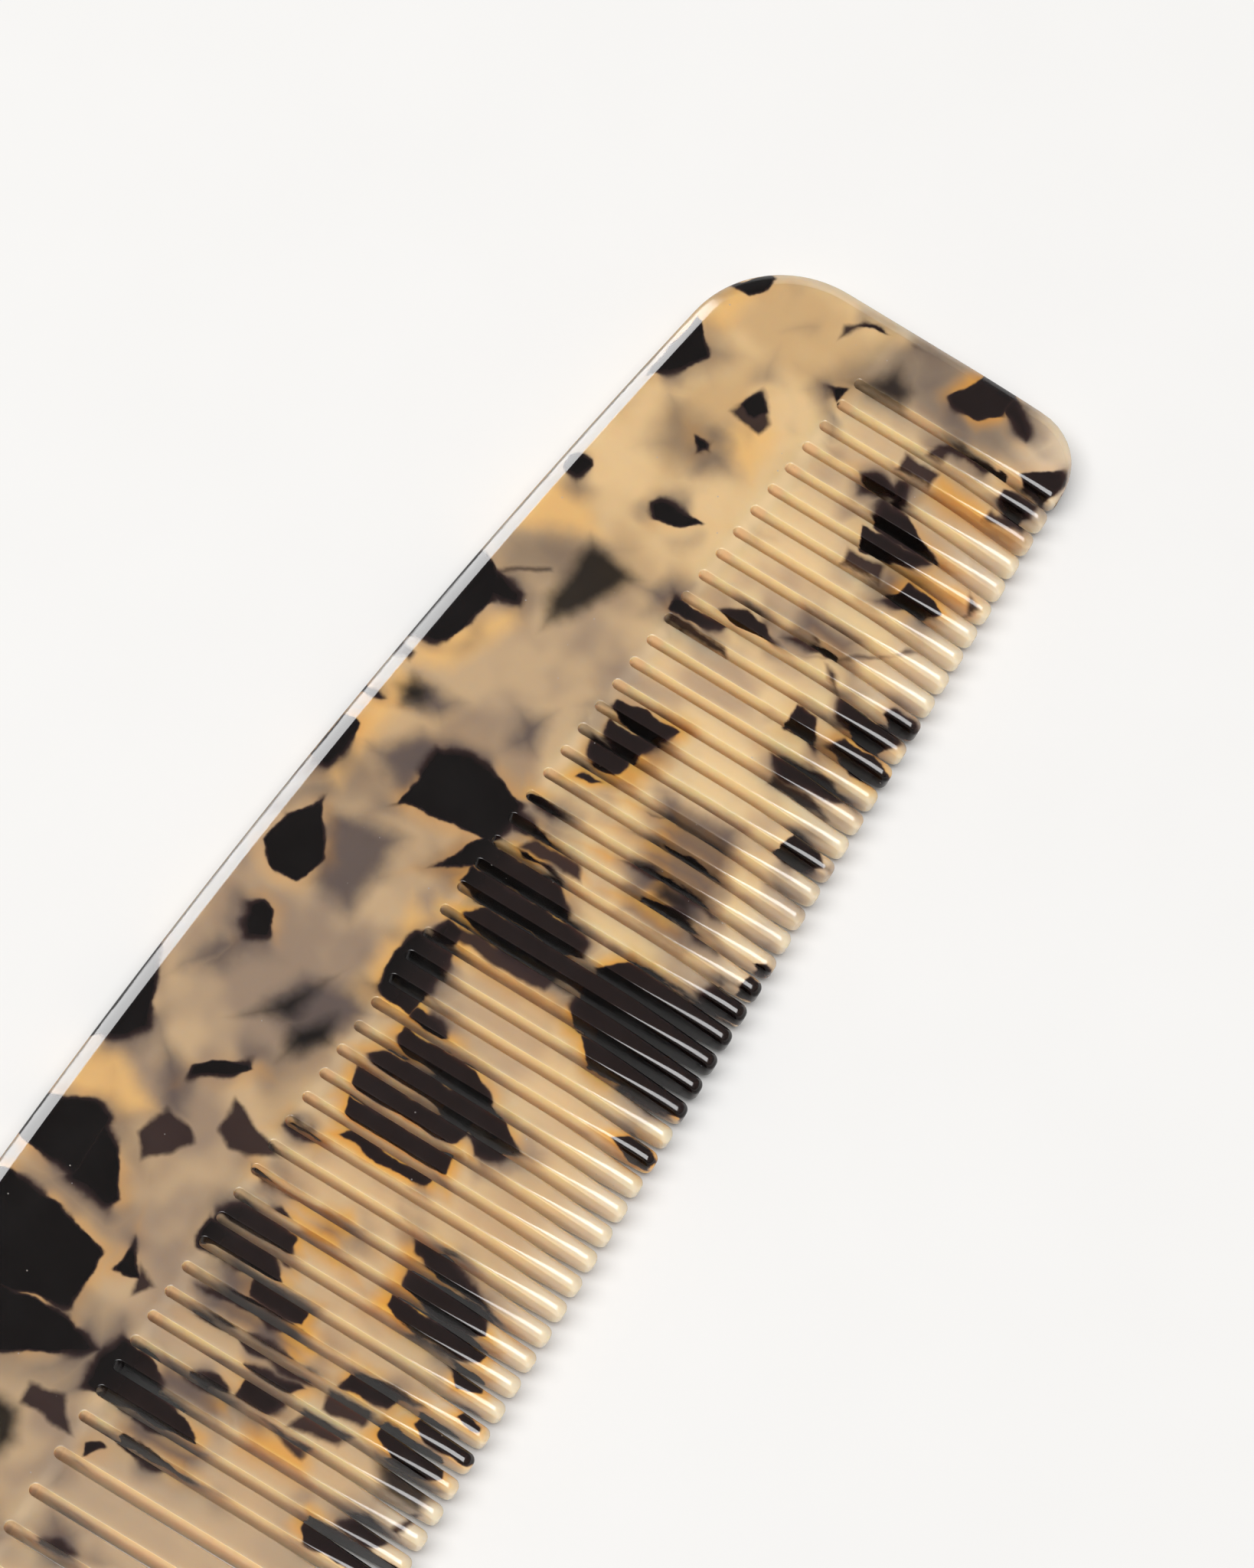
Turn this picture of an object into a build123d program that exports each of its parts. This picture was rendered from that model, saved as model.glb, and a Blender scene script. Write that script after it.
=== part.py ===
"""A hair comb cut from one sheet of cellulose acetate: fine teeth at one end, coarse teeth at the other.

Millimetres. The comb lies flat: X runs along its length with the fine end at +X, Y runs across it with the
back at +Y and the tooth tips at -Y, and Z is its thickness. The origin is the bottom centre of its box.
The real comb is one continuous piece, so its nodes are the regions a comb maker names, and they meet face
to face where the saw cuts stop.
"""

from build123d import *

import os

# --- driving dimensions, in mm ---------------------------------------------------------------------------
LENGTH = 186.0
HEIGHT = 37.6
THICKNESS = 4.2

# The back is one long arc whose highest point lies a little to the coarse side of the middle.
BACK_RADIUS = 654.0
BACK_TOP_X = -24.4
BACK_EDGE_ROUND = 1.2

# The roots of the teeth follow a flatter arc. Its height is measured up from the tips.
ROOT_RADIUS = 986.0
ROOT_TOP_X = -35.7
ROOT_TOP_HEIGHT = 23.94
ROOT_SPLIT_DROP = 0.6

UPPER_CORNER_ROUND = 8.5
LOWER_CORNER_ROUND = 4.0

FINE_SLOTS = 46
FINE_PITCH = 2.0
FINE_SLOT_WIDTH = 0.74
FINE_GUARD_TO_SLOT = 5.73

COARSE_SLOTS = 29
COARSE_PITCH = 2.914
COARSE_SLOT_WIDTH = 0.87
MIDDLE_TOOTH_SPACING = 2.87

# The teeth keep the full thickness at their roots and thin in a long curve towards the tips.
TAPER_LENGTH = 10.0
TIP_THICKNESS = 2.7
TIP_NOSE_ROUND = 0.8
TIP_CORNER_ROUND = 0.45
TIP_WIDTH_SHARE = 0.9

FINE_TEETH_PER_NODE = 3

# --- places worked out from them ------------------------------------------------------------------------
TIP_Y = -HEIGHT / 2
BACK_TOP_Y = HEIGHT / 2
ROOT_TOP_Y = TIP_Y + ROOT_TOP_HEIGHT
END_X = LENGTH / 2
REACH = 10.0  # how far cutting shapes run past what they cut

FINE_SLOT_XS = [END_X - FINE_GUARD_TO_SLOT - FINE_PITCH * i for i in range(FINE_SLOTS)]
FIRST_COARSE_X = FINE_SLOT_XS[-1] - MIDDLE_TOOTH_SPACING
COARSE_SLOT_XS = [FIRST_COARSE_X - COARSE_PITCH * i for i in range(COARSE_SLOTS)]


def arc_y(x, top_x, top_y, radius):
    """The height at x of an arc of this radius whose highest point is (top_x, top_y)."""
    return top_y - radius + (radius**2 - (x - top_x) ** 2) ** 0.5


def back_y(x):
    """The back edge's height at x, before the corners are rounded."""
    return arc_y(x, BACK_TOP_X, BACK_TOP_Y, BACK_RADIUS)


def root_y(x):
    """The height at x where a slot ends."""
    return arc_y(x, ROOT_TOP_X, ROOT_TOP_Y, ROOT_RADIUS)


def arc_edge(height_at, from_x, to_x, drop=0.0):
    """The stretch of the back or root arc between two places along the comb, lowered by drop."""
    middle_x = (from_x + to_x) / 2
    points = [(x, height_at(x) - drop) for x in (from_x, middle_x, to_x)]
    return ThreePointArc(*points)


# --- the blank: outline, thickness and rounded edges ----------------------------------------------------
def comb_outline():
    """The whole comb seen from above, with its four corners rounded and no slots."""
    back = arc_edge(back_y, -END_X, END_X)
    sides = Polyline(back @ 1, (END_X, TIP_Y), (-END_X, TIP_Y), back @ 0)
    outline = make_face([back, sides])
    corners = outline.vertices().sort_by(Axis.Y)
    outline = fillet(corners[:2], LOWER_CORNER_ROUND)
    upper = [v for v in outline.vertices() if v.Y > 0 and abs(v.X) > END_X - 0.01]
    upper = [v for v in upper if abs(v.Y - back_y(v.X)) < 0.01]
    return fillet(upper, UPPER_CORNER_ROUND)


def thickness_profile():
    """The comb seen from its end, across the spine and down a tooth: flat faces that curve in to the tip."""
    taper_y = TIP_Y + TAPER_LENGTH
    inset = (THICKNESS - TIP_THICKNESS) / 2
    radius = (TAPER_LENGTH**2 + inset**2) / (2 * inset)
    half_way = TAPER_LENGTH / 2
    bow = radius - (radius**2 - half_way**2) ** 0.5
    upper = ThreePointArc(
        (taper_y, THICKNESS), (taper_y - half_way, THICKNESS - bow), (TIP_Y, THICKNESS - inset)
    )
    lower = ThreePointArc((TIP_Y, inset), (taper_y - half_way, bow), (taper_y, 0))
    far_y = BACK_TOP_Y + REACH
    flat = Polyline((taper_y, 0), (far_y, 0), (far_y, THICKNESS), (taper_y, THICKNESS))
    face = make_face([upper, Line(upper @ 1, lower @ 0), lower, flat])
    nose = face.vertices().sort_by(Axis.X)[:2]
    return fillet(nose, TIP_NOSE_ROUND)


def profile_bar(from_x, to_x):
    """The thickness profile run along the comb between two places."""
    on_end_plane = Plane(origin=(from_x, 0, 0), x_dir=(0, 1, 0), z_dir=(1, 0, 0))
    return extrude(on_end_plane * thickness_profile(), to_x - from_x)


def comb_blank():
    """The comb before its slots are sawn, with the edge of the back and the ends rounded over."""
    blank = extrude(comb_outline(), THICKNESS)
    rims = [e for e in blank.edges() if e.center().Z < 0.01 or e.center().Z > THICKNESS - 0.01]
    rims = [e for e in rims if e.center().Y > TIP_Y + LOWER_CORNER_ROUND]
    blank = fillet(rims, BACK_EDGE_ROUND)
    return blank & profile_bar(-END_X - REACH, END_X + REACH)


# --- cutting shapes -------------------------------------------------------------------------------------
def below_roots():
    """Everything on the tooth side of the line along which the teeth leave the spine."""
    split = arc_edge(root_y, -END_X - REACH, END_X + REACH, ROOT_SPLIT_DROP)
    low_y = TIP_Y - REACH
    sides = Polyline(split @ 1, ((split @ 1).X, low_y), ((split @ 0).X, low_y), split @ 0)
    region = make_face([split, sides])
    return Pos(0, 0, -REACH) * extrude(region, THICKNESS + 2 * REACH)


def slot_end(x, width):
    """The round end that the saw leaves in the spine above one slot."""
    centre_y = root_y(x) - width / 2
    depth = 2 * ROOT_SPLIT_DROP
    saw = Pos(x, centre_y) * Circle(width / 2) + Pos(x, centre_y - depth / 2) * Rectangle(width, depth)
    return Pos(0, 0, -REACH) * extrude(saw, THICKNESS + 2 * REACH)


def slab_between(from_x, to_x):
    """All space between two places along the comb."""
    size = (to_x - from_x, 3 * HEIGHT, 3 * HEIGHT)
    return Pos((from_x + to_x) / 2, 0, 0) * Box(*size)


# --- the comb's named regions ---------------------------------------------------------------------------
def spine(blank, teeth_side):
    """The solid back that carries every tooth, notched by the round ends of the slots."""
    bar = blank - teeth_side
    fine_ends = [slot_end(x, FINE_SLOT_WIDTH) for x in FINE_SLOT_XS]
    coarse_ends = [slot_end(x, COARSE_SLOT_WIDTH) for x in COARSE_SLOT_XS]
    return bar - fine_ends - coarse_ends


def guard(blank, teeth_side, from_x, to_x):
    """The broad outer tooth that protects one end of the comb."""
    return blank & teeth_side & slab_between(from_x, to_x)


def tooth(teeth_side, left_x, right_x):
    """One tooth: its sides draw in a little towards a tip with rounded corners."""
    middle_x = (left_x + right_x) / 2
    half_root = (right_x - left_x) / 2
    half_tip = half_root * TIP_WIDTH_SHARE
    top_y = root_y(middle_x) + REACH
    straight_y = root_y(middle_x) - ROOT_SPLIT_DROP - 1
    face = make_face(
        Polyline(
            (middle_x - half_root, top_y),
            (middle_x - half_root, straight_y),
            (middle_x - half_tip, TIP_Y),
            (middle_x + half_tip, TIP_Y),
            (middle_x + half_root, straight_y),
            (middle_x + half_root, top_y),
            close=True,
        )
    )
    face = fillet(face.vertices().sort_by(Axis.Y)[:2], TIP_CORNER_ROUND)
    return extrude(face, THICKNESS) & profile_bar(left_x - 1, right_x + 1) & teeth_side


def tooth_between(teeth_side, right_slot_x, left_slot_x, right_width, left_width):
    """The tooth left standing between two neighbouring slots."""
    return tooth(teeth_side, left_slot_x + left_width / 2, right_slot_x - right_width / 2)


def teeth_of_zone(teeth_side, slot_xs, width):
    """All teeth between the slots of one zone, in order from the fine end."""
    pairs = zip(slot_xs[:-1], slot_xs[1:])
    return [tooth_between(teeth_side, right, left, width, width) for right, left in pairs]


def comb_parts():
    """Every node's name with its shape."""
    blank = comb_blank()
    teeth_side = below_roots()
    fine_guard_x = FINE_SLOT_XS[0] + FINE_SLOT_WIDTH / 2
    coarse_guard_x = COARSE_SLOT_XS[-1] - COARSE_SLOT_WIDTH / 2
    parts = {
        "spine": spine(blank, teeth_side),
        "fine_end_guard": guard(blank, teeth_side, fine_guard_x, END_X + REACH),
        "coarse_end_guard": guard(blank, teeth_side, -END_X - REACH, coarse_guard_x),
        "middle_tooth": tooth_between(
            teeth_side, FINE_SLOT_XS[-1], COARSE_SLOT_XS[0], FINE_SLOT_WIDTH, COARSE_SLOT_WIDTH
        ),
    }
    fine = teeth_of_zone(teeth_side, FINE_SLOT_XS, FINE_SLOT_WIDTH)
    for number, start in enumerate(range(0, len(fine), FINE_TEETH_PER_NODE), 1):
        parts[f"fine_teeth_{number:02d}"] = Compound(children=fine[start : start + FINE_TEETH_PER_NODE])
    coarse = teeth_of_zone(teeth_side, COARSE_SLOT_XS, COARSE_SLOT_WIDTH)
    for number, one in enumerate(coarse, 1):
        parts[f"coarse_tooth_{number:02d}"] = one
    return parts


def main():
    os.makedirs("parts", exist_ok=True)
    for name, shape in comb_parts().items():
        export_step(shape, f"parts/{name}.step")


main()
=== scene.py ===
"""The looks of a tortoiseshell acetate hair comb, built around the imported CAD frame.

Lengths are millimetres here and become metres where meshes, lights and the camera are made. The comb lies
flat on z = 0: +X towards its fine teeth, +Y towards its back, and the tooth tips point to -Y.
"""

import math
import random
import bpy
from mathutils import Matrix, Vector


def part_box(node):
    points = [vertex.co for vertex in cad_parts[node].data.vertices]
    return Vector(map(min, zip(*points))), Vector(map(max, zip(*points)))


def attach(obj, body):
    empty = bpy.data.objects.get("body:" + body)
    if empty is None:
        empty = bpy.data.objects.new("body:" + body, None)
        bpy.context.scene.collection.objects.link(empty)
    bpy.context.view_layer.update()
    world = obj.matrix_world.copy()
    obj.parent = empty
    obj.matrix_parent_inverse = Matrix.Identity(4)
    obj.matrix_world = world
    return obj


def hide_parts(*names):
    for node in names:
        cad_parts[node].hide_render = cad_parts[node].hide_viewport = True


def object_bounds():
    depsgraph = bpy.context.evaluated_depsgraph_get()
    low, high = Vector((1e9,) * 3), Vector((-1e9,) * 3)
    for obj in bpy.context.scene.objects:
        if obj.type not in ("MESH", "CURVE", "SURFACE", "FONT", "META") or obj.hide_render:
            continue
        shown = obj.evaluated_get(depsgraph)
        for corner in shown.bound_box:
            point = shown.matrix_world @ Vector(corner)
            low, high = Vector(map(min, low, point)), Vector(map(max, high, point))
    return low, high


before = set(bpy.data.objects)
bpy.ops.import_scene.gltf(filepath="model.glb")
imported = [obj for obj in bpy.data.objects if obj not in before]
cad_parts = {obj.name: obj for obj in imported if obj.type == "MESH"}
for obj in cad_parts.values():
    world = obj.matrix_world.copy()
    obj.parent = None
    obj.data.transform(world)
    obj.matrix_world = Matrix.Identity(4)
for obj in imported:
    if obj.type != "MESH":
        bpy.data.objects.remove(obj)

from types import SimpleNamespace

import bmesh
import bpy
from mathutils import Matrix, Vector

CAD_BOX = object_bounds()
MM = 0.001

# --- driving dimensions, in mm; the rest comes from the frame ---------------------------------------------
LENGTH, _, THICKNESS = [side / MM for side in CAD_BOX[1] - CAD_BOX[0]]
END_X = CAD_BOX[1].x / MM
TIP_Y = CAD_BOX[0].y / MM
BACK_TOP_Y = CAD_BOX[1].y / MM

BACK_RADIUS = 654.0
BACK_TOP_X = -24.4
BACK_EDGE_ROUND = 1.2
BEVEL_WIDTH = 1.1
BEVEL_FROM, BEVEL_TO = 16.0, 42.0  # its slope in degrees where it leaves the face and where it meets the nose
BEVEL_NOSE = 0.14
UPPER_CORNER_ROUND = 8.5
LOWER_CORNER_ROUND = 4.0

ROOT_RADIUS = 986.0
ROOT_TOP_X = -35.7
ROOT_TOP_HEIGHT = 23.94
ROOT_SPLIT_DROP = 0.6

TOOTH_EDGE_ROUND = 0.07
TIP_EDGE_ROUND = 0.62
TIP_THICKNESS = 2.7
TIP_NOSE_ROUND = 0.8
TIP_CORNER_ROUND = 0.45
TIP_WIDTH_SHARE = 0.9
TAPER_LENGTH = 10.0
ROUNDING_LENGTH = 8.0
STRAIGHT_LENGTH = 1.0  # the last of a tooth's sides before the root, which stays at full width

FINE_TEETH_PER_NODE = 3

# --- how finely the meshes are made -----------------------------------------------------------------------
PROFILE_STEPS = 8
NOSE_STEPS = 3
CORNER_STEPS = 20
BACK_STEPS = 90
NOTCH_STEPS = 12
TIP_HEIGHTS = [0.0, 0.02, 0.06, 0.12, 0.2, 0.3, 0.42, 0.56, 0.7, 0.9]
TIP_HEIGHTS += [1.2, 1.6, 2.1, 2.7, 3.4, 4.2, 5.1, 6.1, 7.2]
SHANK_FROM = 8.4
SHANK_STEPS = 8
TILE_COUNT = 8
TILE_BORDERS = [-END_X + LENGTH * (i + 1) / TILE_COUNT for i in range(TILE_COUNT - 1)]
SAME_PLACE = 0.0005  # mesh points closer than this are one
SMOOTH_LIMIT = math.radians(32)
ROUND_LIMIT = 0.98  # the most of a half side that a rounded edge may take


# --- places worked out from them ------------------------------------------------------------------------
def arc_y(x, top_x, top_y, radius):
    """The height at x of an arc of this radius whose highest point is (top_x, top_y)."""
    return top_y - radius + math.sqrt(radius**2 - (x - top_x) ** 2)


def back_y(x):
    """The back edge's height at x, before the corners are rounded."""
    return arc_y(x, BACK_TOP_X, BACK_TOP_Y, BACK_RADIUS)


def root_y(x):
    """The height at x where a slot ends."""
    return arc_y(x, ROOT_TOP_X, TIP_Y + ROOT_TOP_HEIGHT, ROOT_RADIUS)


def split_y(x):
    """The height at x where the teeth leave the spine."""
    return root_y(x) - ROOT_SPLIT_DROP


def node_span(node):
    """A CAD node's lowest and highest x."""
    low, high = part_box(node)
    return low.x / MM, high.x / MM


def tooth_spans():
    """Every tooth from the coarse end to the fine end, as its piece name, CAD node, left x and right x."""
    teeth = []
    fine_nodes = sorted(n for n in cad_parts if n.startswith("fine_teeth_"))
    coarse_nodes = sorted(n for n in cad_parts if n.startswith("coarse_tooth_"))
    slot = node_span(fine_nodes[0])[0] - node_span(fine_nodes[1])[1]
    for group, node in enumerate(fine_nodes):
        left, right = node_span(node)
        width = (right - left - (FINE_TEETH_PER_NODE - 1) * slot) / FINE_TEETH_PER_NODE
        for place in range(FINE_TEETH_PER_NODE):
            number = group * FINE_TEETH_PER_NODE + place + 1
            tooth_right = right - place * (width + slot)
            teeth.append((f"fine_tooth_{number:02d}_visual", node, tooth_right - width, tooth_right))
    for node in ["middle_tooth", *coarse_nodes]:
        teeth.append((f"{node}_visual", node, *node_span(node)))
    return sorted(teeth, key=lambda tooth: tooth[2])


TEETH = tooth_spans()
COARSE_GUARD_SPAN = node_span("coarse_end_guard")
FINE_GUARD_SPAN = node_span("fine_end_guard")
ROOT_SPANS = [COARSE_GUARD_SPAN, *[tooth[2:] for tooth in TEETH], FINE_GUARD_SPAN]


# --- mesh helpers ---------------------------------------------------------------------------------------
def finish_piece(bm, name, nodes):
    """Turns a bmesh in mm into a piece that rides on the comb and stands for these CAD nodes."""
    bmesh.ops.remove_doubles(bm, verts=bm.verts, dist=SAME_PLACE)
    bmesh.ops.dissolve_degenerate(bm, edges=bm.edges, dist=SAME_PLACE)
    bmesh.ops.recalc_face_normals(bm, faces=bm.faces)
    bmesh.ops.scale(bm, vec=(MM, MM, MM), verts=bm.verts)
    for face in bm.faces:
        face.smooth = True
    for edge in bm.edges:
        if edge.is_manifold and edge.calc_face_angle() > SMOOTH_LIMIT:
            edge.smooth = False
    mesh = bpy.data.meshes.new(name)
    bm.to_mesh(mesh)
    bm.free()
    piece = bpy.data.objects.new(name, mesh)
    bpy.context.scene.collection.objects.link(piece)
    weighted = piece.modifiers.new("weighted_normals", "WEIGHTED_NORMAL")
    weighted.keep_sharp = True
    weighted.weight = 100
    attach(piece, "root")
    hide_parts(*nodes)
    return piece


def join_rings(bm, rings):
    """Closes a stack of rings of equal length into a tube with a face at each end."""
    loops = [[bm.verts.new(point) for point in ring] for ring in rings]
    for low, high in zip(loops[:-1], loops[1:]):
        for i, vertex in enumerate(low):
            j = (i + 1) % len(low)
            bm.faces.new((vertex, low[j], high[j], high[i]))
    bm.faces.new(loops[0])
    bm.faces.new(loops[-1])


def rounding_profile(radius):
    """A quarter round from a face to a side, as (distance in from the side, distance down from the face)."""
    angles = [math.pi / 2 * step / PROFILE_STEPS for step in range(PROFILE_STEPS + 1)]
    return [(radius * (1 - math.sin(a)), radius * (1 - math.cos(a))) for a in angles]


def bevel_profile():
    """The soft bevel of the back and the ends: a crowned slope, then a small round nose."""
    slope_steps = PROFILE_STEPS - NOSE_STEPS
    width = (BEVEL_WIDTH - BEVEL_NOSE) / slope_steps
    inset, drop = BEVEL_WIDTH, 0.0
    points = [(inset, drop)]
    for step in range(slope_steps):
        angle = BEVEL_FROM + (BEVEL_TO - BEVEL_FROM) * (step + 0.5) / slope_steps
        inset -= width
        drop += width * math.tan(math.radians(angle))
        points.append((inset, drop))
    start = math.radians(BEVEL_TO)
    radius = BEVEL_NOSE / (1 - math.sin(start))
    for step in range(1, NOSE_STEPS + 1):
        angle = start + (math.pi / 2 - start) * step / NOSE_STEPS
        points.append((radius * (1 - math.sin(angle)), drop + radius * (math.cos(start) - math.cos(angle))))
    return points


def edge_profile(radius):
    """The profile of an edge: the back and the outer ends have a bevel, every other edge is round."""
    return bevel_profile() if radius == BACK_EDGE_ROUND else rounding_profile(radius)


# --- spine ----------------------------------------------------------------------------------------------
def upper_corner(side):
    """The rounded corner between the back and one end (side 1 or -1), as outline points from end to back."""
    centre_x = side * (END_X - UPPER_CORNER_ROUND)
    reach = BACK_RADIUS - UPPER_CORNER_ROUND
    arc_centre_y = BACK_TOP_Y - BACK_RADIUS
    centre_y = arc_centre_y + math.sqrt(reach**2 - (centre_x - BACK_TOP_X) ** 2)
    last = math.atan2(centre_y - arc_centre_y, side * (centre_x - BACK_TOP_X))
    points = []
    for step in range(CORNER_STEPS + 1):
        angle = last * step / CORNER_STEPS
        out_x, out_y = side * math.cos(angle), math.sin(angle)
        x, y = centre_x + UPPER_CORNER_ROUND * out_x, centre_y + UPPER_CORNER_ROUND * out_y
        points.append((x, y, -out_x, -out_y, BACK_EDGE_ROUND))
    return points


def back_edge(from_x, to_x):
    """The arched back between two places, as outline points."""
    points = []
    for step in range(1, BACK_STEPS):
        x = from_x + (to_x - from_x) * step / BACK_STEPS
        out_x = (x - BACK_TOP_X) / BACK_RADIUS
        points.append((x, back_y(x), -out_x, -math.sqrt(1 - out_x**2), BACK_EDGE_ROUND))
    return points


def slot_notch(left_x, right_x):
    """The round end of one slot between two teeth, as outline points from left to right."""
    middle, radius = (left_x + right_x) / 2, (right_x - left_x) / 2
    centre_y = root_y(middle) - radius
    points = [(left_x, split_y(left_x), -1, 0, TOOTH_EDGE_ROUND)]
    for step in range(NOTCH_STEPS + 1):
        angle = math.pi * (1 - step / NOTCH_STEPS)
        out_x, out_y = math.cos(angle), math.sin(angle)
        points.append((middle + radius * out_x, centre_y + radius * out_y, out_x, out_y, TOOTH_EDGE_ROUND))
    points.append((right_x, split_y(right_x), 1, 0, TOOTH_EDGE_ROUND))
    return points


def spine_outline():
    """The spine seen from above, as (x, y, inward x, inward y, edge rounding), once round."""
    coarse_corner, fine_corner = upper_corner(-1), upper_corner(1)
    outline = [(-END_X, split_y(-END_X), 1, 0, BACK_EDGE_ROUND)]
    for left, right in zip(ROOT_SPANS[:-1], ROOT_SPANS[1:]):
        outline += slot_notch(left[1], right[0])
    outline.append((END_X, split_y(END_X), -1, 0, BACK_EDGE_ROUND))
    outline += fine_corner
    outline += back_edge(fine_corner[-1][0], coarse_corner[-1][0])
    outline += reversed(coarse_corner)
    return outline


def edge_rings(outline):
    """The outline stacked from the lower face to the upper face, with its edges softened."""
    profiles = {radius: edge_profile(radius) for radius in (TOOTH_EDGE_ROUND, BACK_EDGE_ROUND)}
    levels = list(range(PROFILE_STEPS + 1))
    rings = []
    for level, upper in [(i, False) for i in levels] + [(i, True) for i in reversed(levels)]:
        ring = []
        for x, y, inward_x, inward_y, radius in outline:
            inset, drop = profiles[radius][level]
            ring_x, ring_y = x + inward_x * inset, y + inward_y * inset
            if inward_y == 0 and y == split_y(x):
                ring_y = split_y(ring_x)
            ring.append((ring_x, ring_y, THICKNESS - drop if upper else drop))
        rings.append(ring)
    return rings


def build_spine():
    """The solid back, cut across into tiles so that each tile holds only the chips near it."""
    bm = bmesh.new()
    join_rings(bm, edge_rings(spine_outline()))
    for border in TILE_BORDERS:
        everything = bm.verts[:] + bm.edges[:] + bm.faces[:]
        bmesh.ops.bisect_plane(bm, geom=everything, plane_co=(border, 0, 0), plane_no=(1, 0, 0))
    piece = finish_piece(bm, "spine_visual", ["spine"])
    edges = [-END_X, *TILE_BORDERS, END_X]
    for number, (left, right) in enumerate(zip(edges[:-1], edges[1:])):
        low_y = split_y(left if number else right) - 2
        piece.data.materials.append(acetate(f"acetate_spine_{number + 1}", left, right, low_y, BACK_TOP_Y))
    for face in piece.data.polygons:
        face.material_index = sum(face.center.x / MM > border for border in TILE_BORDERS)
    return piece


# --- teeth and guards -----------------------------------------------------------------------------------
def corner_inset(height, radius):
    """How far a rounded corner of this radius draws in at a height above its end."""
    if height >= radius:
        return 0.0
    return radius - math.sqrt(radius**2 - (radius - height) ** 2)


def half_thickness(height):
    """Half the comb's thickness at a height above the tips: a long curve, then the rounded nose."""
    inset = (THICKNESS - TIP_THICKNESS) / 2
    radius = (TAPER_LENGTH**2 + inset**2) / (2 * inset)
    below = max(TAPER_LENGTH - height, 0)
    bow = radius - math.sqrt(radius**2 - below**2)
    return THICKNESS / 2 - bow - corner_inset(height, TIP_NOSE_ROUND)


def ease(value):
    """A smooth step from 0 to 1."""
    value = min(max(value, 0.0), 1.0)
    return value * value * (3 - 2 * value)


def section(y, left, right, half_z, left_profile, right_profile):
    """A rectangle with softened corners across a tooth at one y, from its lower right corner round."""
    low, high = THICKNESS / 2 - half_z, THICKNESS / 2 + half_z
    points = [(right - inset, y, low + drop) for inset, drop in right_profile]
    points += [(right - inset, y, high - drop) for inset, drop in reversed(right_profile)]
    points += [(left + inset, y, high - drop) for inset, drop in left_profile]
    points += [(left + inset, y, low + drop) for inset, drop in reversed(left_profile)]
    return points


def heights(top):
    """Heights above the tips at which a tooth gets a section, closer together towards the tip."""
    shank = [SHANK_FROM + (top - SHANK_FROM) * step / SHANK_STEPS for step in range(SHANK_STEPS + 1)]
    return TIP_HEIGHTS + shank


def tooth_rings(left_x, right_x, left_corner, right_corner, left_round, right_round, taper):
    """A tooth's sections from tip to root. taper is the share of its width left at the tip."""
    middle, half = (left_x + right_x) / 2, (right_x - left_x) / 2
    top = split_y(middle) - TIP_Y
    rings = []
    for height in heights(top):
        share = min(height / (top - STRAIGHT_LENGTH), 1)
        left = middle - half * (taper + (1 - taper) * share) + corner_inset(height, left_corner)
        right = middle + half * (taper + (1 - taper) * share) - corner_inset(height, right_corner)
        half_z = half_thickness(height)
        softened = ease(1 - height / ROUNDING_LENGTH)
        limit = min(half_z, (right - left) / 2) * ROUND_LIMIT
        profiles = []
        for radius in (left_round, right_round):
            if radius == TOOTH_EDGE_ROUND:
                radius = min(radius + (TIP_EDGE_ROUND - radius) * softened, limit)
            profiles.append(edge_profile(radius))
        rings.append(section(TIP_Y + height, left, right, half_z, *profiles))
    rings[-1] = [(x, split_y(x), z) for x, _, z in rings[-1]]
    return rings


def build_tooth(name, node, left_x, right_x):
    """One tooth: its sides draw in a little, its faces curve in and its edges soften towards the tip."""
    bm = bmesh.new()
    edge, corner = TOOTH_EDGE_ROUND, TIP_CORNER_ROUND
    join_rings(bm, tooth_rings(left_x, right_x, corner, corner, edge, edge, TIP_WIDTH_SHARE))
    piece = finish_piece(bm, name, [node])
    piece.data.materials.append(acetate(f"acetate_{name}", left_x, right_x, TIP_Y, split_y(left_x)))
    return piece


def build_guard(name, node, span, outer_is_right):
    """The broad outer tooth of one end: its outer side has the same bevel as the back."""
    outer = (LOWER_CORNER_ROUND, BACK_EDGE_ROUND)
    inner = (TIP_CORNER_ROUND, TOOTH_EDGE_ROUND)
    left, right = (inner, outer) if outer_is_right else (outer, inner)
    bm = bmesh.new()
    join_rings(bm, tooth_rings(*span, left[0], right[0], left[1], right[1], 1.0))
    piece = finish_piece(bm, name, [node])
    piece.data.materials.append(acetate(f"acetate_{name}", *span, TIP_Y, split_y(span[0])))
    return piece


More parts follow.
